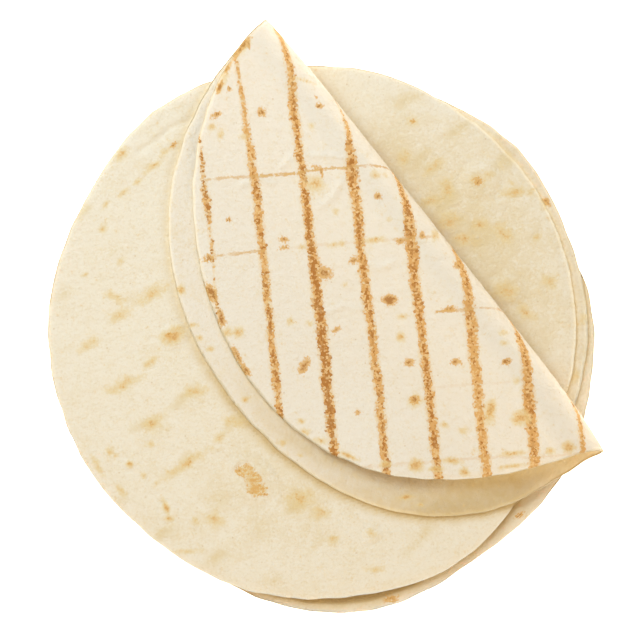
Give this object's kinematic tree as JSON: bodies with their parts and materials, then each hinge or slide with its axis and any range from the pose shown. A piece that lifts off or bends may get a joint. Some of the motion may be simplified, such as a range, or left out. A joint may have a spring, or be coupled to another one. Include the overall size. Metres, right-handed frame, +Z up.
{
  "type": "tortilla stack",
  "caption": "Stack of round flat tortillas lying a little out of line, with a grill-marked one folded in half over an open bend on top.",
  "frame": {"origin": "middle of the stack's outline, at the height of the lowest sheet's underside", "axes": "+Z up, the sheets lie level; the fold line runs from the +Y side down to the +X side"},
  "size_m": [0.2592, 0.2771, 0.0317],
  "materials": {
    "plain_tortilla": "dry matt cream, faintly mottled with pale toasted patches and small blisters",
    "grilled_tortilla": "dry matt pale cream with thin straight brown grill stripes and small toasted specks"
  },
  "bodies": {
    "root": {"tortilla_bottom": "plain_tortilla", "tortilla_middle": "plain_tortilla", "tortilla_top": "plain_tortilla", "tortilla_folded": "grilled_tortilla"}
  },
  "joints": []
}
